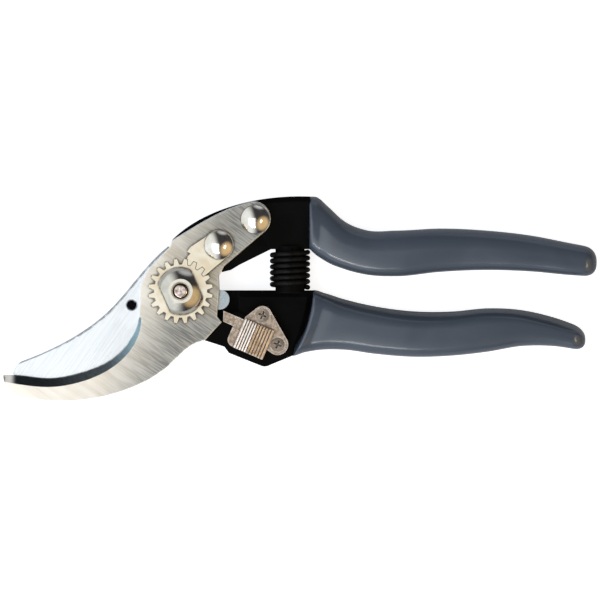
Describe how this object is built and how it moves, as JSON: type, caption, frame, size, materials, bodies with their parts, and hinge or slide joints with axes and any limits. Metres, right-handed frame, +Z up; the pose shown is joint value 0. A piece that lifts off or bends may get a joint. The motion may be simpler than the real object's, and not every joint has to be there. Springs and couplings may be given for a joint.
{
  "type": "pruning shears",
  "caption": "Bypass pruning shears with a curved blade and hooked counter blade, toothed adjuster nut, coil spring, sliding catch and sleeve grips.",
  "frame": {"origin": "on the pivot axis, at the back face of the pivot bolt's head, on which the shears lie", "axes": "+X from the pivot to the handles, +Y across from the lower to the upper handle, +Z up along the pivot to the domed nut"},
  "size_m": [0.2204, 0.0757, 0.0204],
  "materials": {
    "polished_blade": "polished, finely ground",
    "brushed_plate": "brushed",
    "black_casting": "satin black",
    "slate_grip": "glossy dipped PVC",
    "rivet_steel": "plain",
    "plated_bolt": "zinc plated",
    "plated_nut": "zinc plated, warm",
    "bright_screw": "bright",
    "black_wire": "blackened wire",
    "zinc_catch": "die-cast zinc, satin",
    "spring_steel": "plain"
  },
  "bodies": {
    "lower": {"cutting_blade": "polished_blade", "lower_handle": "black_casting", "lower_grip": "slate_grip", "blade_rivet_inner": "rivet_steel", "blade_rivet_outer": "rivet_steel", "catch_bracket": "zinc_catch", "bracket_screw_front": "bright_screw", "bracket_screw_rear": "bright_screw", "catch_leaf_spring": "spring_steel", "return_spring": "black_wire", "pivot_washer": "plated_bolt"},
    "upper": {"hook_blade": "brushed_plate", "upper_handle": "black_casting", "upper_grip": "slate_grip", "pivot_bolt": "plated_bolt", "adjuster_nut": "plated_nut", "locking_tab": "plated_nut", "tab_screw": "bright_screw", "hook_rivet": "bright_screw"},
    "catch": {"catch_bolt": "zinc_catch", "catch_thumb": "zinc_catch"}
  },
  "joints": [
    {"name": "main_pivot", "type": "hinge", "parent": "lower", "child": "upper", "pos_m": [0, 0, 0], "axis": [0, 0, 1], "range_deg": [0, 25], "deforming": ["return_spring"]},
    {"name": "catch_slide", "type": "slide", "parent": "lower", "child": "catch", "axis": [0.9205, -0.3907, 0], "range_m": [0, 0.006]}
  ],
  "couplings": [
    {"joint": "catch_slide", "follows": "main_pivot", "m_per_rad": 0.013751}
  ]
}
